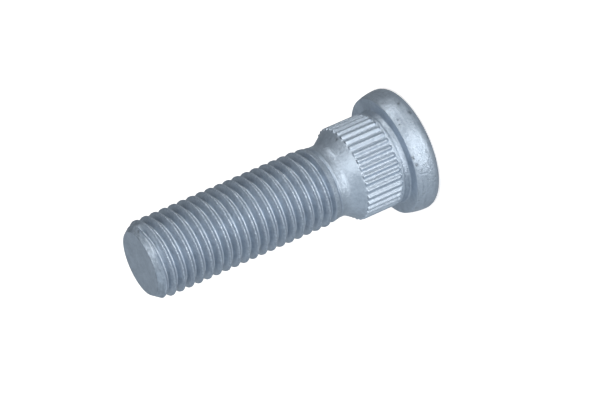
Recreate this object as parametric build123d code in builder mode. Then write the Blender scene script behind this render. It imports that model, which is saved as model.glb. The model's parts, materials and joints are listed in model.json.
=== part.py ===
"""Press-in wheel stud: forged head, splined shoulder, tapered neck and a rolled metric thread, in one piece.

The stud stands on its head. Its axis is Z, the head's outer face lies at Z = 0 and the thread points up.
Lengths are in millimetres and angles in degrees.
"""

import os
from math import ceil, cos, pi, radians, tan

from build123d import *

# Head: a round disc with a soft outer edge, whose rim leans in towards the seat under it
head_thickness = 3.9
head_edge_round = 1.2
rim_lean = 0.45
seat_width = 1.75

# Shoulder: a plain collar, then splines that stand a little above it and bite into the hub's hole
collar_length = 1.4
collar_fillet = 0.4
spline_diameter = 14.3
spline_length = 5.3
spline_count = 38
spline_start_angle = 5.2
spline_depth = 0.3
spline_rise = 0.1
spline_nose = 0.35
spline_crest_width = 0.15
spline_root_width = 0.3
spline_runout = 0.4

# Neck: a cone down to the blank that the thread was rolled on
cone_half_angle = 34.0
neck_length = 1.15
neck_fillet = 1.2

# Thread: right-hand V form with narrow flat crests and roots, fading out towards the neck
thread_major_diameter = 11.85
thread_pitch = 1.5
thread_crest_width = 0.19
thread_root_width = 0.25
thread_flank_angle = 30.0
thread_length = 28.0
thread_runout = 2.4
thread_start_angle = 333.0
blank_undersize = 0.85

# Tip: a flat end inside a lead-in chamfer
tip_chamfer_depth = 1.1
tip_chamfer_length = 1.5

# Depth by which one body runs into the next, or a cutter past a surface
overlap = 0.1

# Radii that the outlines share
major_radius = thread_major_diameter / 2
neck_radius = major_radius - blank_undersize / 2
tip_radius = major_radius - tip_chamfer_depth
spline_radius = spline_diameter / 2
collar_radius = spline_radius - spline_rise
seat_radius = spline_radius + seat_width
head_radius = seat_radius + rim_lean

# Heights along the stud, counted from the head's outer face
cone_angle = radians(cone_half_angle)
cone_length = (spline_radius - neck_radius) / tan(cone_angle)
seat_height = head_thickness
spline_start = seat_height + collar_length
spline_end = spline_start + spline_length
neck_start = spline_end + cone_length
runout_start = neck_start + neck_length
thread_start = runout_start + thread_runout
tip_height = thread_start + thread_length

# Thread groove: one turn of a V, repeated from below the run-out to above the tip
flank_slope = tan(radians(thread_flank_angle))
groove_mouth = thread_pitch - thread_crest_width
groove_depth = (groove_mouth - thread_root_width) / 2 / flank_slope
groove_top_width = groove_mouth + 2 * flank_slope * overlap
groove_start = runout_start - 2 * thread_pitch
groove_turns = ceil((tip_height - groove_start) / thread_pitch) + 1
root_radius = major_radius - groove_depth

with BuildPart() as thread_groove:
    with BuildLine(Plane.XY.rotated((0, 0, thread_start_angle))) as groove_path:
        Helix(
            pitch=thread_pitch,
            height=thread_pitch,
            radius=major_radius,
            center=(0, 0, groove_start),
        )
    path_start = groove_path.line @ 0
    outward = Vector(path_start.X, path_start.Y, 0)
    with BuildSketch(Plane(origin=path_start, x_dir=outward, z_dir=groove_path.line % 0)):
        Polygon(
            (-groove_depth, -thread_root_width / 2),
            (overlap, -groove_top_width / 2),
            (overlap, groove_top_width / 2),
            (-groove_depth, thread_root_width / 2),
        )
    sweep(path=groove_path.line, is_frenet=True)

# Threaded rod: lead-in chamfer at the tip, and crests that sink below the neck's surface at the run-out
runout_slope = (major_radius - neck_radius) / thread_runout
rod_start = runout_start - overlap / runout_slope

with BuildPart() as threaded_rod:
    with BuildSketch(Plane.XZ):
        Polygon(
            (0, rod_start),
            (neck_radius - overlap, rod_start),
            (major_radius, thread_start),
            (major_radius, tip_height - tip_chamfer_length),
            (tip_radius, tip_height),
            (0, tip_height),
        )
    revolve(axis=Axis.Z)
    with Locations(*((0, 0, turn * thread_pitch) for turn in range(groove_turns))):
        add(thread_groove.part, mode=Mode.SUBTRACT)

# Spline slot: a flared cutter that breaks out through the cone and rises to the surface at the collar
slot_root_radius = spline_radius - spline_depth
slot_mouth = 2 * pi * spline_radius / spline_count - spline_crest_width
slot_flare = (slot_mouth - spline_root_width) / spline_depth
slot_top_radius = spline_radius + overlap
slot_top_width = slot_mouth + slot_flare * overlap
slot_top_end = spline_start - overlap * spline_runout / spline_depth

with BuildPart() as spline_slot:
    with BuildSketch(Plane.XZ):
        Polygon(
            (slot_root_radius, spline_start + spline_runout),
            (slot_top_radius, slot_top_end),
            (slot_top_radius, neck_start),
            (slot_root_radius, neck_start),
        )
    extrude(amount=slot_top_width, both=True)
    with BuildSketch(Plane.XY.offset(slot_top_end)):
        Polygon(
            (slot_root_radius, -spline_root_width / 2),
            (slot_top_radius, -slot_top_width / 2),
            (slot_top_radius, slot_top_width / 2),
            (slot_root_radius, spline_root_width / 2),
        )
    extrude(amount=neck_start - slot_top_end, mode=Mode.INTERSECT)

# The fillet at the neck may take up to this share of the cone's face
fillet_share = 0.8
neck_fillet_limit = fillet_share * cone_length / cos(cone_angle) / tan(cone_angle / 2)

with BuildPart() as wheel_stud:
    with BuildSketch(Plane.XZ):
        with BuildLine():
            rim = TangentArc((head_radius, head_edge_round), (seat_radius, seat_height), tangent=(0, 1))
            edge = TangentArc(rim @ 0, (head_radius - head_edge_round, 0), tangent=(0, -1))
            shoulder = FilletPolyline(
                rim @ 1,
                (collar_radius, seat_height),
                (collar_radius, spline_start),
                (spline_radius, spline_start + spline_nose),
                (spline_radius, spline_end),
                (neck_radius, neck_start),
                (neck_radius, runout_start + thread_pitch / 2),
                radius=(collar_fillet, 0, 0, 0, min(neck_fillet, neck_fillet_limit)),
            )
            Polyline(
                shoulder @ 1,
                (root_radius - overlap, thread_start + overlap),
                (0, thread_start + overlap),
                (0, 0),
                edge @ 1,
            )
        make_face()
    revolve(axis=Axis.Z)
    with PolarLocations(0, spline_count, start_angle=spline_start_angle):
        add(spline_slot.part, mode=Mode.SUBTRACT)
    add(threaded_rod.part)

wheel_stud.part.label = "wheel_stud"

os.makedirs("parts", exist_ok=True)
export_step(wheel_stud.part, "parts/wheel_stud.step")
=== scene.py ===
"""A press-in wheel stud in a matt zinc-flake coat, standing on a pale studio floor.

The stud stands on its head at the origin. Its axis is Z, its thread points up, and lengths are in metres.
"""

import json
from math import atan2, ceil, cos, degrees, hypot, radians, sin, tan, tau

import bmesh
import bpy
from bpy.props import FloatProperty, FloatVectorProperty, IntProperty, PointerProperty
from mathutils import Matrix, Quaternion, Vector, noise


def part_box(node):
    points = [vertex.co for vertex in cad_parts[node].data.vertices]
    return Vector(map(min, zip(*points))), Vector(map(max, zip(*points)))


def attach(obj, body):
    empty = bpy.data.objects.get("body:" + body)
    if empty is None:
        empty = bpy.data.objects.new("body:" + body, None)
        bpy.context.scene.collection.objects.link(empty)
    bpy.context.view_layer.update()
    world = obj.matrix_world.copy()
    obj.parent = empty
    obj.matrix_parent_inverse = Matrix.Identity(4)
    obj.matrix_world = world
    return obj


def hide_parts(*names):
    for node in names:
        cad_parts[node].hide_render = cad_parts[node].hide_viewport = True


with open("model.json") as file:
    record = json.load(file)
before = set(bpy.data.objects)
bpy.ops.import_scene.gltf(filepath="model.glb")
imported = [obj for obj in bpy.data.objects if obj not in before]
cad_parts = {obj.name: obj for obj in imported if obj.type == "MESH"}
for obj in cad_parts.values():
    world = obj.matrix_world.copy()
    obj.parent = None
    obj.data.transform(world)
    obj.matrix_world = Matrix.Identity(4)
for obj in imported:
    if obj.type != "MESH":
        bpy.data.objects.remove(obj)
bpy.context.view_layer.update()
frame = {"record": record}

bl_info = {
    "name": "Wheel Stud",
    "version": (1, 0, 0),
    "blender": (4, 5, 0),
    "location": "View3D > Sidebar > Wheel Stud",
    "description": "Adds a press-in wheel stud with splines and a rolled thread, and a pale studio",
    "category": "Add Mesh",
}

MM = 0.001
UP = Vector((0, 0, 1))
CENTRE = Vector((0, 0, 0))

# Vertices nearer than this are one vertex
WELD = 0.001 * MM

# Edges where the surface turns by more than this stay sharp
SHARP = radians(40)

# Vertex attribute of the stud: 1 where the coat is rubbed bright, below 0 where it is darker: on the
# filled lead-in, and down to -1 at the blunt spline ends, where grime and painted shade are put
WEAR_AND_SHADE = "wear"

# Dark nicks in the coat, in millimetres: in the lead-in chamfer, at the cone's edge, and four on the rim
NICKS = (
    (-4.2, 3.2, 44.0),
    (-4.9, 4.4, 11.5),
    (3.1, 8.5, 3.5),
    (1.9, 8.8, 3.6),
    (-6.0, 7.1, 1.6),
    (-4.2, 8.3, 1.1),
)

# Sizes that the frame gives
stud_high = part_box("wheel_stud")[1]
mounts = {mount["name"]: mount for mount in frame["record"]["mounts"]}
seat_level = mounts["seat_face"]["pos_m"][2]
spline_reach = mounts["splines"]["dims"]["r_mm"] * MM
thread_reach = mounts["thread"]["dims"]["r_mm"] * MM


def length(name, description, default):
    """A property that holds a length in metres."""
    return FloatProperty(
        name=name,
        description=description,
        default=default,
        min=0,
        precision=6,
        unit="LENGTH",
    )


def offset(name, description, default):
    """A property that holds a distance in metres either way."""
    return FloatProperty(
        name=name,
        description=description,
        default=default,
        precision=6,
        unit="LENGTH",
    )


def angle(name, description, default):
    """A property that holds an angle, with its default in degrees."""
    return FloatProperty(name=name, description=description, default=radians(default), subtype="ANGLE")


def colour(name, description, default):
    """A property that holds a linear colour."""
    return FloatVectorProperty(
        name=name,
        description=description,
        default=default,
        min=0,
        max=1,
        subtype="COLOR",
    )


def number(name, description, default):
    """A property that holds a plain number from 0 up."""
    return FloatProperty(name=name, description=description, default=default, min=0)


def power(name, description, default):
    """A property that holds a light's power in watts."""
    return FloatProperty(name=name, description=description, default=default, min=0, unit="POWER")


def two_lengths(name, description, default):
    """A property that holds a width and a height in metres."""
    return FloatVectorProperty(
        name=name,
        description=description,
        default=default,
        size=2,
        unit="LENGTH",
    )


def two_angles(name, description, default):
    """A property that holds an azimuth and an elevation, with its default in degrees."""
    turns = [radians(turn) for turn in default]
    return FloatVectorProperty(
        name=name,
        description=description,
        default=turns,
        size=2,
        unit="ROTATION",
    )


class StudSizes(bpy.types.PropertyGroup):
    """Sizes of the stud, counted from the head's flat outer face at height 0."""

    head_radius: length("Head radius", "Largest radius of the head", stud_high.x)
    head_edge: length("Head edge", "Rounding of the head's outer edge", 1.2 * MM)
    rim_lean: length("Rim lean", "How far the rim leans in towards the seat", 0.45 * MM)
    crease_round: length("Crease", "Rounding of the crease between rim and seat", 0.09 * MM)
    seat_height: length("Seat height", "Height of the flat seat under the head", seat_level)
    collar_length: length("Collar length", "Plain stretch between seat and splines", 1.03 * MM)
    collar_fillet: length("Collar fillet", "Fillet between seat and collar", 0.2 * MM)
    collar_flare: length("Collar flare", "How much wider the collar is at the seat", 0.04 * MM)
    collar_waist: length("Collar waist", "How much the collar narrows before the splines", 0.03 * MM)

    spline_count: IntProperty(name="Splines", description="Number of splines", default=38, min=3)
    spline_radius: length("Spline radius", "Radius over the spline crests", spline_reach)
    spline_turn: angle("Spline turn", "Turn of the splines about the axis", 1.65)
    spline_length: length("Spline length", "From the collar to the cone", 5.67 * MM)
    spline_depth: length("Spline depth", "Depth of the grooves between splines", 0.33 * MM)
    spline_rise: length("Spline rise", "How far the crests stand above the collar", 0.1 * MM)
    spline_nose: length("Spline nose", "Length of the rounded ends at the collar", 0.5 * MM)
    crest_width: length("Spline crest", "Width of a spline's crest", 0.13 * MM)
    groove_floor: length("Groove floor", "Width of a groove's floor", 0.26 * MM)
    groove_end: length("Groove end", "Length over which a groove rises to the collar", 0.35 * MM)
    spline_stop: length("Spline stop", "From the cone's edge to the full spline's end", 0.4 * MM)
    spline_shift: length("Spline shift", "How far the crests bend down past the cone's edge", 0.3 * MM)
    spline_bluntness: number("Spline bluntness", "How much steeper the ends at the cone are", 4)

    cone_angle: angle("Cone angle", "Angle of the cone to the axis", 34)
    cone_edge: length("Cone edge", "Easing between splines and cone", 0.08 * MM)
    neck_undersize: length("Neck undersize", "From the thread's crests in to the neck", 0.425 * MM)
    neck_length: length("Neck length", "Plain neck between cone and thread", 1.15 * MM)
    neck_fillet: length("Neck fillet", "Fillet between cone and neck", 1.8 * MM)

    thread_radius: length("Thread radius", "Radius over the thread's crests", thread_reach)
    thread_pitch: length("Thread pitch", "Rise of the thread in one turn", 1.5 * MM)
    thread_phase: length("Thread phase", "Height of a crest on the +X side, in one pitch", 0.0585 * MM)
    thread_crest: length("Thread crest", "Width of the crest before rounding", 0.2 * MM)
    thread_root: length("Thread root", "Width of the root before rounding", 0.16 * MM)
    thread_runout: length("Thread run-out", "Length over which the thread fades at the neck", 2.4 * MM)
    flank_angle: angle("Flank angle", "Angle of a flank to the plane across the axis", 30)
    crest_round: length("Crest rounding", "Radius of the crest's edges", 0.08 * MM)
    last_groove: length("Last groove", "From the tip to where the thread's last groove ends", 1.12 * MM)
    groove_fade: length("Groove fade", "Rise over which the last groove ends", 0.1 * MM)
    lead_length: length("Lead length", "Length of the plain lead-in at the tip", 2.4 * MM)
    lead_angle: angle("Lead angle", "Angle of the plain lead-in to the axis", 17)

    tip_height: length("Tip height", "Height of the flat tip", stud_high.z)
    chamfer_depth: length("Chamfer depth", "How far the lead-in chamfer cuts in", 1.1 * MM)
    chamfer_length: length("Chamfer length", "How far the lead-in chamfer runs down", 1.5 * MM)

    @property
    def seat_radius(self):
        return self.head_radius - self.rim_lean

    @property
    def collar_radius(self):
        return self.spline_radius - self.spline_rise

    @property
    def neck_radius(self):
        return self.thread_radius - self.neck_undersize

    @property
    def root_radius(self):
        flank_width = (self.thread_pitch - self.thread_crest - self.thread_root) / 2
        return self.thread_radius - flank_width / tan(self.flank_angle)

    @property
    def root_round(self):
        return self.thread_root / 2 / tan(self.flank_angle)

    @property
    def spline_start(self):
        return self.seat_height + self.collar_length

    @property
    def spline_end(self):
        return self.spline_start + self.spline_length

    @property
    def neck_start(self):
        return self.spline_end + (self.spline_radius - self.neck_radius) / tan(self.cone_angle)

    def cone_radius(self, height):
        """Radius of the cone at a height."""
        return self.spline_radius - (height - self.spline_end) * tan(self.cone_angle)

    @property
    def runout_start(self):
        return self.neck_start + self.neck_length

    @property
    def shank_top(self):
        return self.runout_start - self.neck_length / 4

    @property
    def chamfer_start(self):
        return self.tip_height - self.chamfer_length


class StudFinish(bpy.types.PropertyGroup):
    """Colours and texture of the zinc-flake coat."""

    coat_light: colour("Light flakes", "Where the coat's flakes lie flat", (0.40, 0.47, 0.56))
    coat_dark: colour("Dark flakes", "Where the coat is thin", (0.27, 0.325, 0.40))
    # Also the colour that the thread's roots are lightened towards, as a painted highlight
    worn_and_root_highlight: colour("Worn edges", "Where crests and edges are rubbed bright", (0.54, 0.60, 0.68))
    # Also the colour of the painted shade at the blunt spline ends
    grime: colour("Grime", "In pits and scuffs", (0.07, 0.085, 0.105))
    metallic: number("Metallic", "How metallic the coat is", 0.8)
    roughness: number("Roughness", "Roughness of the plain coat", 0.37)
    grain_depth: length("Grain depth", "Depth of the coat's fine grain", 0.1 * MM)
    pit_grime: number("Pit grime", "How dark the pits in the rim are", 0.45)
    scuff_grime: number("Scuff grime", "How dark the scuffs on the rim are", 0.42)
    nick_grime: number("Nick grime", "How dark the nicks are", 0.7)
    # Sets how dark the grime and painted shade at the blunt spline ends are, and how dark the filled
    # lead-in is
    corner_shade_and_grime: number("Corner grime", "How dark the corners are where grime gathers", 0.8)


class StudioLook(bpy.types.PropertyGroup):
    """Floor, light and camera."""

    floor: colour("Floor", "Colour of the floor", (0.9, 0.88, 0.865))
    floor_glow: number("Floor glow", "Light that the floor gives off by itself", 0.6)
    ambient: number("Ambient light", "Strength of the light from all round", 0.45)
    ambient_side: number("Ambient side", "How much stronger the ambient light is on the +X side", 0.6)
    ambient_front: number("Ambient front", "How much stronger the ambient light is in front", 0.12)
    ambient_top: number("Ambient top", "How much stronger the ambient light is above the tip", 0.25)
    ambient_lean: number("Ambient lean", "How much the ambient light leans, up on the +X side", 0.4)
    ambient_poles: number("Ambient poles", "How much stronger the ambient light is above and below", 0.45)
    key_angles: two_angles("Key direction", "Azimuth from +Y towards +X, and elevation", (10, -8))
    key_size: two_lengths("Key size", "Width and height of the key light", (0.95, 0.3))
    key_power: power("Key power", "Power of the soft box beside the camera", 4)
    top_angles: two_angles("Top direction", "Azimuth from +Y towards +X, and elevation", (-20, 45))
    top_size: two_lengths("Top size", "Width and height of the top light", (0.6, 0.5))
    top_power: power("Top power", "Power of the soft box above the thread", 2.2)
    side_angles: two_angles("Side direction", "Azimuth from +Y towards +X, and elevation", (-66, 2))
    side_size: two_lengths("Side size", "Width and height of the side light", (0.3, 0.2))
    side_power: power("Side power", "Power of the soft box on the -X side", 1.5)
    light_tint: colour("Light tint", "Colour of the soft boxes", (1, 0.96, 0.9))
    ambient_tint: colour("Ambient tint", "Colour of the ambient light", (0.9, 0.96, 1))
    light_distance: length("Light distance", "From the soft boxes to the stud's middle", 0.7)
    view_elevation: angle("Elevation", "Angle of the camera above the horizon", 21.6233)
    view_roll: angle("Roll", "Turn of the camera about its line of sight", -113.8592)
    view_distance: length("Distance", "From the camera to the stud's middle", 0.4851)
    view_right: offset("Offset right", "From the stud's middle to the picture's centre", 3.475 * MM)
    view_up: offset("Offset up", "From the stud's middle to the picture's centre", 0.568 * MM)
    focal_length: number("Focal length", "Focal length of the camera in millimetres", 204)
    sensor_width: number("Sensor width", "Width of the camera's sensor in millimetres", 36)


def smooth(value):
    """Eases from 0 to 1 as the value goes from 0 to 1."""
    value = min(max(value, 0), 1)
    return value * value * (3 - 2 * value)


def soft_min(first, second, easing):
    """The smaller of two values, eased where they are closer than a given distance."""
    closeness = max(1 - abs(first - second) / easing, 0)
    return min(first, second) - closeness**2 * easing / 4


def arc(centre, radius, start, stop, steps):
    """Points of an arc in the plane of an outline, with its angles in degrees."""
    points = []
    for step in range(steps + 1):
        turn = radians(start + (stop - start) * step / steps)
        points.append(Vector(centre) + radius * Vector((cos(turn), sin(turn))))
    return points


def rounded(before, corner, after, radius, steps):
    """Points of the arc that rounds an outline's corner."""
    corner = Vector(corner)
    back = (Vector(before) - corner).normalized()
    onward = (Vector(after) - corner).normalized()
    half_angle = back.angle(onward) / 2
    centre = corner + (back + onward).normalized() * radius / sin(half_angle)
    first = corner + back * radius / tan(half_angle) - centre
    last = corner + onward * radius / tan(half_angle) - centre
    return [centre + radius * first.slerp(last, step / steps) for step in range(steps + 1)]


def between(start, stop, steps):
    """Evenly spaced points inside a straight stretch of an outline."""
    return [Vector(start).lerp(Vector(stop), step / steps) for step in range(1, steps)]


def draw_chain(bm, points):
    """Adds an outline as a chain of edges in the XZ plane. Points are (radius, height)."""
    verts = [bm.verts.new((radius, 0, height)) for radius, height in points]
    edges = [bm.edges.new(pair) for pair in zip(verts, verts[1:])]
    return verts, edges


def verts_of(geometry):
    """Vertices among what an operator returns."""
    return [item for item in geometry if isinstance(item, bmesh.types.BMVert)]


def open_loop(bm, height):
    """Edges of the mesh's open border at a height."""
    return [
        edge
        for edge in bm.edges
        if edge.is_boundary and all(abs(vert.co.z - height) < WELD for vert in edge.verts)
    ]


def thread_outline(size):
    """One pitch of the thread from root to root, as (radius, height, wear)."""
    crest_wear = 0.3
    root_turn = 90 - degrees(size.flank_angle)
    root = arc((0, size.root_radius + size.root_round), size.root_round, 270, 270 + root_turn, steps=4)
    crest_corner = ((size.thread_pitch - size.thread_crest) / 2, size.thread_radius)
    crest_middle = (size.thread_pitch / 2, size.thread_radius)
    crest = rounded(root[-1], crest_corner, crest_middle, size.crest_round, steps=4)
    flank = between(root[-1], crest[0], steps=3)

    half = [(radius, height, 0) for height, radius in root + flank]
    half += [(radius, height, crest_wear) for height, radius in crest]
    other_half = [(radius, size.thread_pitch - height, wear) for radius, height, wear in reversed(half)]
    return half + other_half


def add_thread(bm, size):
    """Rolls one turn of the thread, stacks it up the shank, and trims it at the neck and the tip."""
    steps = 108
    chamfer_rings = 8
    tip_edge = 0.1 * MM
    outline = thread_outline(size)
    below_runout = size.runout_start - size.runout_start % size.thread_pitch
    first_crest = below_runout - size.thread_pitch + size.thread_phase
    start = first_crest - size.thread_pitch / 2
    turns = ceil((size.tip_height - start) / size.thread_pitch) + 1

    verts, edges = draw_chain(bm, [(radius, start + height) for radius, height, wear in outline])
    wear_and_shade_layer = bm.verts.layers.float[WEAR_AND_SHADE]
    for vert, (radius, height, wear) in zip(verts, outline):
        vert[wear_and_shade_layer] = wear
    bmesh.ops.spin(
        bm,
        geom=verts + edges,
        cent=CENTRE,
        axis=UP,
        dvec=UP * size.thread_pitch / steps,
        angle=tau,
        steps=steps,
    )
    one_turn = bm.verts[:] + bm.edges[:] + bm.faces[:]
    for turn in range(1, turns):
        copy = bmesh.ops.duplicate(bm, geom=one_turn)["geom"]
        bmesh.ops.translate(bm, vec=UP * size.thread_pitch * turn, verts=verts_of(copy))
    bmesh.ops.remove_doubles(bm, verts=bm.verts, dist=WELD)

    cut_across(bm, size.runout_start, clear_inner=True)
    cut_across(bm, size.tip_height, clear_outer=True)
    for ring in range(1, chamfer_rings + 1):
        cut_across(bm, size.tip_height - size.chamfer_length * ring / chamfer_rings)
    shape_thread(bm, size)
    tip = bmesh.ops.edgeloop_fill(bm, edges=open_loop(bm, size.tip_height))["faces"]
    bmesh.ops.inset_region(bm, faces=tip, thickness=tip_edge, use_even_offset=True)
    for vert in tip[0].verts:
        vert[bm.verts.layers.float[WEAR_AND_SHADE]] = 0


def cut_across(bm, height, **cleared):
    """Cuts the mesh by a level plane, and clears away one side of it if asked to."""
    everything = bm.verts[:] + bm.edges[:] + bm.faces[:]
    bmesh.ops.bisect_plane(bm, geom=everything, dist=WELD, plane_co=UP * height, plane_no=UP, **cleared)


def nearest_groove(size, place):
    """Height of the thread's root that lies straight above or below a place and nearest to it."""
    # Crests stand at whole turns from the phase, and roots half a turn on
    turn = atan2(place.y, place.x) / tau
    groove = round((place.z - size.thread_phase) / size.thread_pitch - turn - 0.5) + turn + 0.5
    return size.thread_phase + groove * size.thread_pitch


def shape_thread(bm, size):
    """Fades the thread out at the neck and the tip, chamfers it, and leaves its crest a little uneven."""
    bead_length = 0.5 * MM
    bead_depth = 0.03 * MM
    chamfer_wear = 0.42
    lead_darkening = 0.4
    wear_and_shade_layer = bm.verts.layers.float[WEAR_AND_SHADE]
    for vert in bm.verts:
        radius = vert.co.xy.length
        height = vert.co.z
        if vert[wear_and_shade_layer] > 0:
            radius -= bead_depth * smooth(0.5 + noise.noise(vert.co / bead_length))

        fade = min(max((height - size.runout_start) / size.thread_runout, 0), 1)
        radius += (size.neck_radius - size.root_radius) * (1 - fade)
        crest_limit = size.neck_radius + size.neck_undersize * fade
        if radius > crest_limit:
            vert[wear_and_shade_layer] *= fade
            radius = crest_limit

        past_groove = nearest_groove(size, vert.co) - size.tip_height + size.last_groove
        filled = smooth(past_groove / size.groove_fade + 1)
        lead_in = max(height - size.tip_height + size.lead_length, 0) * tan(size.lead_angle)
        radius += max(size.thread_radius - lead_in - radius, 0) * filled

        up_chamfer = (height - size.tip_height + size.chamfer_length) / size.chamfer_length
        chamfer_limit = size.thread_radius - size.chamfer_depth * max(up_chamfer, 0)
        if radius > chamfer_limit:
            vert[wear_and_shade_layer] = chamfer_wear
            radius = chamfer_limit
        # The filled lead-in is made darker: its value goes below zero there
        vert[wear_and_shade_layer] -= (vert[wear_and_shade_layer] + lead_darkening) * filled
        vert.co.xy *= radius / vert.co.xy.length


def shank_outline(size):
    """Half-section from the head's flat face to just below the thread, as (radius, height)."""
    rim_height = size.seat_height - size.head_edge
    rim_round = (size.rim_lean**2 + rim_height**2) / (2 * size.rim_lean)
    rim_turn = degrees(2 * atan2(size.rim_lean, rim_height))
    rim = arc((size.head_radius - rim_round, size.head_edge), rim_round, 0, rim_turn, steps=6)
    crease = (size.seat_radius, size.seat_height)
    collar_foot = (size.collar_radius + size.collar_flare, size.seat_height)
    collar_start = size.seat_height + size.collar_fillet
    cone_top = (size.spline_radius, size.spline_end)
    cone_foot = (size.neck_radius, size.neck_start)
    neck_top = (size.neck_radius, size.runout_start)

    head_corner = (size.head_radius, 0)
    head_side = (size.head_radius, size.seat_height)
    outline = rounded((0, 0), head_corner, head_side, size.head_edge, steps=6)
    outline += rim[1:-1]
    outline += rounded(rim[-2], crease, collar_foot, size.crease_round, steps=3)
    outline += between(crease, collar_foot, steps=3)
    collar_side = (collar_foot[0], collar_start)
    outline += rounded(crease, collar_foot, collar_side, size.collar_fillet, steps=3)

    # The collar narrows from the seat to its waist, and widens again to the splines
    collar_rings = 7
    waist_place = 0.65
    for ring in range(1, collar_rings):
        rise = ring / collar_rings
        radius = size.collar_radius + size.collar_flare
        radius -= (size.collar_flare + size.collar_waist) * smooth(rise / waist_place)
        radius += size.collar_waist * smooth((rise - waist_place) / (1 - waist_place))
        outline.append(Vector((radius, collar_start + (size.spline_start - collar_start) * rise)))

    # Rings lie close together where the splines start, and where they end at the cone
    nose_rings = 14
    fade_length = size.spline_nose + size.groove_end
    for ring in range(nose_rings + 1):
        rise = fade_length * ring / nose_rings
        radius = size.collar_radius + size.spline_rise * smooth(rise / size.spline_nose)
        outline.append(Vector((radius, size.spline_start + rise)))

    edge_rings = 14
    edge_length = 0.7 * MM
    cone_edge = []
    for ring in range(edge_rings + 1):
        height = size.spline_end + edge_length * ring / edge_rings
        cone_edge.append(Vector((size.cone_radius(height), height)))

    neck = rounded(cone_top, cone_foot, neck_top, size.neck_fillet, steps=8)
    outline += between(outline[-1], cone_edge[0], steps=4) + cone_edge
    outline += between(cone_edge[-1], neck[0], steps=5) + neck
    outline.append(Vector((size.neck_radius, size.shank_top)))
    return outline


def add_shank(bm, size):
    """Turns the head, shoulder and neck: one spline's sector is shaped, and repeated round the axis."""
    columns = 16
    sector = tau / size.spline_count
    verts, edges = draw_chain(bm, shank_outline(size))
    half_back = Quaternion(UP, -sector / 2).to_matrix()
    bmesh.ops.rotate(bm, cent=CENTRE, matrix=half_back, verts=verts)
    old = set(bm.verts) - set(verts)
    bmesh.ops.spin(bm, geom=verts + edges, cent=CENTRE, axis=UP, angle=sector, steps=columns)
    sector_verts = [vert for vert in bm.verts if vert not in old]
    raise_spline(bm, sector_verts, size)

    sector_faces = {face for vert in sector_verts for face in vert.link_faces}
    sector_edges = {edge for vert in sector_verts for edge in vert.link_edges}
    bmesh.ops.spin(
        bm,
        geom=sector_verts + list(sector_edges) + list(sector_faces),
        cent=CENTRE,
        axis=UP,
        angle=tau - sector,
        steps=size.spline_count - 1,
        use_duplicate=True,
    )
    shank_verts = [vert for vert in bm.verts if vert not in old]
    spline_turn = Quaternion(UP, size.spline_turn).to_matrix()
    bmesh.ops.rotate(bm, cent=CENTRE, matrix=spline_turn, verts=shank_verts)
    bmesh.ops.remove_doubles(bm, verts=shank_verts, dist=WELD)
    bmesh.ops.edgeloop_fill(bm, edges=open_loop(bm, 0))


def raise_spline(bm, verts, size):
    """Leaves a spline in the middle of its sector, with rounded ends and grooves beside it."""
    flank_rounding = 0.4
    half_crest = size.crest_width / 2
    half_foot = (tau * size.spline_radius / size.spline_count - size.groove_floor) / 2
    floor_radius = size.spline_radius - size.spline_depth
    nose_height = size.spline_start + size.spline_nose
    stop_height = size.spline_end + size.spline_stop
    wear_and_shade_layer = bm.verts.layers.float[WEAR_AND_SHADE]
    for vert in verts:
        radius = vert.co.xy.length
        height = vert.co.z
        if height < size.spline_start or height > stop_height + half_foot:
            continue
        across = atan2(vert.co.y, vert.co.x) * size.spline_radius
        past_end = max(nose_height - height, (height - stop_height) * size.spline_bluntness, 0)
        from_crest = hypot(across, past_end)
        flank = min(max((half_foot - from_crest) / (half_foot - half_crest), 0), 1)
        flank = (1 - flank_rounding) * flank + flank_rounding * smooth(flank)
        sink = smooth((height - size.spline_start) / size.groove_end)
        ground = size.collar_radius - (size.collar_radius - floor_radius) * sink
        ground = soft_min(ground, size.cone_radius(height), size.cone_edge)
        crest = radius
        if height > nose_height:
            proud_cone = size.cone_radius(height - size.spline_shift)
            crest = soft_min(size.spline_radius, proud_cone, size.cone_edge)
        vert.co.xy *= (ground + (crest - ground) * flank) / radius
        if height > stop_height:
            # Grime and painted shade are thickest half-way up the blunt ends
            vert[wear_and_shade_layer] = 4 * flank * (flank - 1)


def build_stud(size):
    """The whole stud as one closed mesh."""
    bm = bmesh.new()
    bm.verts.layers.float.new(WEAR_AND_SHADE)
    add_thread(bm, size)
    add_shank(bm, size)
    joint = open_loop(bm, size.runout_start) + open_loop(bm, size.shank_top)
    bmesh.ops.bridge_loops(bm, edges=joint)
    bmesh.ops.recalc_face_normals(bm, faces=bm.faces)
    if not all(edge.is_manifold for edge in bm.edges):
        raise RuntimeError("The stud's mesh isn't closed")
    return bm


class Recipe:
    """The nodes of one material or world."""

    def __init__(self, tree):
        self.tree = tree
        tree.nodes.clear()

    def node(self, kind, settings, sockets, output=0):
        """Adds a node, sets it up, fills its sockets, and returns one of its outputs."""
        made = self.tree.nodes.new(kind)
        for name, value in settings.items():
            setattr(made, name, value)
        for name, value in sockets.items():
            if isinstance(value, Shade):
                self.tree.links.new(value.socket, made.inputs[name])
            else:
                made.inputs[name].default_value = value
        return Shade(self, made.outputs[output]) if made.outputs else None

    def split(self, vector):
        """The three components of a vector."""
        return [self.node("ShaderNodeSeparateXYZ", {}, {"Vector": vector}, axis) for axis in "XYZ"]


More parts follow.
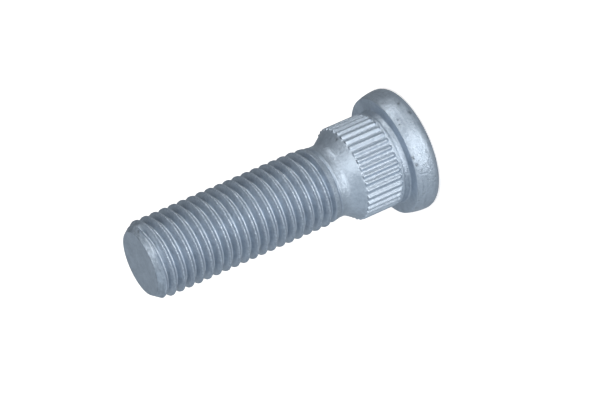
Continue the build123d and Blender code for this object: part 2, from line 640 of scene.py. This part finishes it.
class Shade:
    """A node's output. Python's operators on it add Math nodes."""

    def __init__(self, recipe, socket):
        self.recipe = recipe
        self.socket = socket

    def math(self, operation, first, second):
        """Adds one Math node."""
        return self.recipe.node("ShaderNodeMath", {"operation": operation}, {0: first, 1: second})

    def __add__(self, other):
        return self.math("ADD", self, other)

    def __radd__(self, other):
        return self.math("ADD", other, self)

    def __sub__(self, other):
        return self.math("SUBTRACT", self, other)

    def __rsub__(self, other):
        return self.math("SUBTRACT", other, self)

    def __mul__(self, other):
        return self.math("MULTIPLY", self, other)

    def __rmul__(self, other):
        return self.math("MULTIPLY", other, self)

    def __pow__(self, other):
        return self.math("POWER", self, other)

    def __rpow__(self, other):
        return self.math("POWER", other, self)

    def ramp(self, low, high):
        """0 up to low and 1 from high on, eased between them."""
        return self.recipe.node(
            "ShaderNodeMapRange",
            {"interpolation_type": "SMOOTHSTEP"},
            {"Value": self, "From Min": low, "From Max": high},
        )


def zinc_flake(finish, size):
    """The coat: blue-grey flakes, bright rubbed edges, grime in pits, scuffs and nicks, a painted
    highlight in the thread's roots, painted shade with grime at the blunt spline ends, and a darker filled
    lead-in.
    """
    material = bpy.data.materials.new("zinc_flake_coat")
    material.use_nodes = True
    recipe = Recipe(material.node_tree)
    place = recipe.node("ShaderNodeTexCoord", {}, {}, "Object")
    sideways, forwards, height = recipe.split(place)
    from_axis = (sideways**2 + forwards**2) ** 0.5

    def grain(where, scale, detail):
        """Noise with about so many grains to a millimetre."""
        sockets = {"Vector": where, "Scale": scale / MM, "Detail": detail, "Roughness": 0.6}
        return recipe.node("ShaderNodeTexNoise", {}, sockets)

    def zone(start, full, fading, end):
        """1 between two heights, with a soft start and end."""
        return height.ramp(start, full) - height.ramp(fading, end)

    def blend(amount, first, second):
        """One colour turning into another."""
        return recipe.node("ShaderNodeMix", {"data_type": "RGBA"}, {0: amount, 6: first, 7: second}, 2)

    # Streaks run round the axis, so their noise is drawn out that way
    streak_stretch = 0.12
    turn = sideways.math("ARCTAN2", sideways, forwards)
    unrolled = {"X": turn * (size.thread_radius * streak_stretch), "Z": height}
    round_axis = recipe.node("ShaderNodeCombineXYZ", {}, unrolled)
    clouds = grain(place, 0.5, 3)
    mottle = grain(place, 2.2, 3)
    flakes = grain(place, 9, 1)
    streaks = grain(round_axis, 3, 3)
    spots = grain(place, 1.3, 3)
    beads = grain(place, 3.5, 2)

    def nick_at(centre):
        """1 in a ragged spot round a place in millimetres."""
        ends = {0: place, 1: Vector(centre) * MM}
        reach = recipe.node("ShaderNodeVectorMath", {"operation": "DISTANCE"}, ends, "Value")
        return 1 - (reach + mottle * (0.6 * MM)).ramp(0.3 * MM, 0.7 * MM)

    # Zones of the stud; the edges of the rim take more pits and scuffs than its middle
    seat = size.seat_height
    tip = size.tip_height
    on_head = zone(0, 0.1 * MM, seat, seat + 0.1 * MM)
    on_splines = zone(
        size.spline_start,
        size.spline_start + size.spline_nose,
        size.spline_end,
        size.spline_end + 0.9 * MM,
    )
    on_thread = zone(
        size.runout_start,
        size.runout_start + size.thread_runout,
        tip - 0.7 * MM,
        tip - 0.5 * MM,
    )
    on_chamfer = zone(size.chamfer_start - 0.3 * MM, size.chamfer_start, tip - 0.05 * MM, tip)
    # Painted highlight: the thread's roots, lightened towards the worn colour
    painted_root_highlight = on_thread * (1 - from_axis.ramp(size.root_radius + 0.03 * MM, size.root_radius + 0.12 * MM))
    outside_seat = from_axis.ramp(size.seat_radius - 0.1 * MM, size.seat_radius + 0.05 * MM)
    near_edges = 1.3 + height.ramp(2.6 * MM, 3.8 * MM) - height.ramp(0.2 * MM, 1.6 * MM)
    on_rim = on_head * near_edges * outside_seat

    # Wear: rubbed beads and streaks with dull gaps between them; below zero, spots of grime and painted
    # shade at the blunt spline ends, and a darker filled lead-in
    wear = recipe.node("ShaderNodeAttribute", {"attribute_name": WEAR_AND_SHADE}, {}, "Fac")
    pattern = beads.ramp(0.42, 0.6) * (1 - on_chamfer) + streaks.ramp(0.47, 0.6) * on_chamfer
    rubbed = wear.ramp(0, 1) * pattern
    gaps = wear.ramp(0, 0.3) * (1 - pattern)
    pits = spots.ramp(0.6, 0.68) * on_rim
    scuffs = streaks.ramp(0.5, 0.66) * clouds.ramp(0.42, 0.6) * on_rim
    # Spots of grime and painted shade at the blunt spline ends, and of darkening on the filled lead-in
    corners = (0 - wear).ramp(0, 1) * spots.ramp(0.4, 0.6)
    nicks = sum(nick_at(centre) for centre in NICKS)
    # Grime in pits, scuffs and nicks, together with the painted shade at the blunt spline ends
    grime = pits * finish.pit_grime + scuffs * finish.scuff_grime
    grime = grime + nicks * finish.nick_grime + corners * finish.corner_shade_and_grime

    # Colour, roughness and relief: lighter on the splines, streaked on the head and the chamfer
    tone = clouds * 0.45 + mottle * 0.35 + flakes * 0.3 - 0.05
    tone = tone + on_splines * 0.25 + (on_head + on_chamfer) * (streaks - 0.5) * 0.6
    tone = tone - gaps * 0.5 - on_chamfer * 0.05
    coat = blend(tone.ramp(0.3, 0.7), (*finish.coat_dark, 1), (*finish.coat_light, 1))
    # Rubbed edges take the worn colour, and the thread's roots take it too as a painted highlight
    coat = blend(rubbed + painted_root_highlight * 0.6, coat, (*finish.worn_and_root_highlight, 1))
    coat = blend(grime, coat, (*finish.grime, 1))
    roughness = finish.roughness + mottle * 0.12 + gaps * 0.2 + on_chamfer * 0.08 - rubbed * 0.05
    relief = flakes * 0.2 + mottle + streaks * on_chamfer * 2 - pits
    bump = recipe.node(
        "ShaderNodeBump",
        {},
        {"Height": relief, "Strength": 0.8, "Distance": finish.grain_depth},
    )
    shader = recipe.node(
        "ShaderNodeBsdfPrincipled",
        {},
        {"Base Color": coat, "Roughness": roughness, "Metallic": finish.metallic, "Normal": bump},
    )
    recipe.node("ShaderNodeOutputMaterial", {}, {"Surface": shader})
    return material


def plain_floor(look):
    """A pale matt floor that glows a little, so that it stays white."""
    material = bpy.data.materials.new("pale_floor")
    material.use_nodes = True
    recipe = Recipe(material.node_tree)
    shader = recipe.node(
        "ShaderNodeBsdfPrincipled",
        {},
        {
            "Base Color": (*look.floor, 1),
            "Roughness": 0.9,
            "Emission Color": (*look.floor, 1),
            "Emission Strength": look.floor_glow,
        },
    )
    recipe.node("ShaderNodeOutputMaterial", {}, {"Surface": shader})
    return material


def mesh_object(name, bm, material):
    """Makes an object at the origin from a bmesh, and frees the bmesh."""
    mesh = bpy.data.meshes.new(name)
    bm.to_mesh(mesh)
    bm.free()
    mesh.materials.append(material)
    made = bpy.data.objects.new(name, mesh)
    bpy.context.scene.collection.objects.link(made)
    return made


class MESH_OT_add_wheel_stud(bpy.types.Operator):
    """Add the wheel stud in its zinc-flake coat"""

    bl_idname = "mesh.add_wheel_stud"
    bl_label = "Add Wheel Stud"

    def execute(self, context):
        size = context.scene.stud_sizes
        stud = mesh_object("stud", build_stud(size), zinc_flake(context.scene.stud_finish, size))
        stud.data.shade_smooth()
        stud.data.set_sharp_from_angle(angle=SHARP)
        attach(stud, "root")
        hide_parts("wheel_stud")
        return {"FINISHED"}


class SCENE_OT_add_stud_studio(bpy.types.Operator):
    """Add the floor, the light and the camera"""

    bl_idname = "scene.add_stud_studio"
    bl_label = "Add Studio"

    def execute(self, context):
        look = context.scene.stud_studio
        middle = UP * context.scene.stud_sizes.tip_height / 2
        add_floor(look)
        add_ambient(context.scene, look)
        add_soft_box("key", look, middle, look.key_angles, look.key_size, look.key_power)
        add_soft_box("top", look, middle, look.top_angles, look.top_size, look.top_power)
        add_soft_box("side", look, middle, look.side_angles, look.side_size, look.side_power)
        add_camera(context.scene, look, middle)
        context.scene.view_settings.view_transform = "Standard"
        return {"FINISHED"}


def add_floor(look):
    """A wide floor just under the head, which neither shades nor tints the stud."""
    half_width = 2
    drop = 0.01 * MM
    bm = bmesh.new()
    bmesh.ops.create_grid(bm, x_segments=1, y_segments=1, size=half_width)
    bmesh.ops.translate(bm, vec=UP * -drop, verts=bm.verts)
    floor = mesh_object("floor", bm, plain_floor(look))
    floor.visible_diffuse = False
    floor.visible_glossy = False
    floor.visible_shadow = False


def add_ambient(scene, look):
    """Soft light from all round, stronger in front, above and below, and most of all above the +X side."""
    world = bpy.data.worlds.new("studio")
    world.use_nodes = True
    recipe = Recipe(world.node_tree)
    direction = recipe.node("ShaderNodeTexCoord", {}, {}, "Generated")
    sideways, forwards, upwards = recipe.split(direction)
    level = 1 + sideways * look.ambient_side + forwards * look.ambient_front
    level = level + upwards * look.ambient_top + upwards**2 * look.ambient_poles
    level = level + sideways * upwards * look.ambient_lean
    strength = look.ambient * level
    light = recipe.node(
        "ShaderNodeBackground",
        {},
        {"Color": (*look.ambient_tint, 1), "Strength": strength},
    )
    recipe.node("ShaderNodeOutputWorld", {}, {"Surface": light})
    scene.world = world


def add_soft_box(name, look, middle, angles, size, watts):
    """A soft box that faces the stud's middle."""
    azimuth, elevation = angles
    direction = Vector((sin(azimuth), cos(azimuth), tan(elevation))).normalized()
    light = bpy.data.lights.new(name, "AREA")
    light.shape = "RECTANGLE"
    light.size, light.size_y = size
    light.energy = watts
    light.color = look.light_tint
    lamp = bpy.data.objects.new(name, light)
    lamp.location = middle + direction * look.light_distance
    lamp.rotation_mode = "QUATERNION"
    lamp.rotation_quaternion = direction.to_track_quat("Z", "Y")
    lamp.visible_camera = False
    bpy.context.scene.collection.objects.link(lamp)


def add_camera(scene, look, middle):
    """A long lens from the thread's side, rolled so that the standing stud lies across the picture."""
    line_of_sight = Vector((0, cos(look.view_elevation), sin(look.view_elevation)))
    turn = line_of_sight.to_track_quat("Z", "Y") @ Quaternion(UP, look.view_roll)
    camera = bpy.data.cameras.new("camera")
    camera.lens = look.focal_length
    camera.sensor_width = look.sensor_width
    camera.clip_start = 0.01
    mount = bpy.data.objects.new("camera", camera)
    mount.location = middle + turn @ Vector((look.view_right, look.view_up, look.view_distance))
    mount.rotation_mode = "QUATERNION"
    mount.rotation_quaternion = turn
    scene.collection.objects.link(mount)
    scene.camera = mount


class VIEW3D_PT_wheel_stud(bpy.types.Panel):
    """Sizes, finish and studio of the wheel stud"""

    bl_label = "Wheel Stud"
    bl_space_type = "VIEW_3D"
    bl_region_type = "UI"
    bl_category = "Wheel Stud"

    def draw(self, context):
        groups = (
            (context.scene.stud_sizes, MESH_OT_add_wheel_stud),
            (context.scene.stud_finish, None),
            (context.scene.stud_studio, SCENE_OT_add_stud_studio),
        )
        for group, operator in groups:
            box = self.layout.box()
            for name in group.__annotations__:
                box.prop(group, name)
            if operator:
                box.operator(operator.bl_idname)


classes = (
    StudSizes,
    StudFinish,
    StudioLook,
    MESH_OT_add_wheel_stud,
    SCENE_OT_add_stud_studio,
    VIEW3D_PT_wheel_stud,
)


def register():
    for item in classes:
        bpy.utils.register_class(item)
    bpy.types.Scene.stud_sizes = PointerProperty(type=StudSizes)
    bpy.types.Scene.stud_finish = PointerProperty(type=StudFinish)
    bpy.types.Scene.stud_studio = PointerProperty(type=StudioLook)


def unregister():
    del bpy.types.Scene.stud_studio
    del bpy.types.Scene.stud_finish
    del bpy.types.Scene.stud_sizes
    for item in reversed(classes):
        bpy.utils.unregister_class(item)


def main():
    register()
    bpy.ops.mesh.add_wheel_stud()
    bpy.ops.scene.add_stud_studio()


if __name__ == "__main__":
    main()
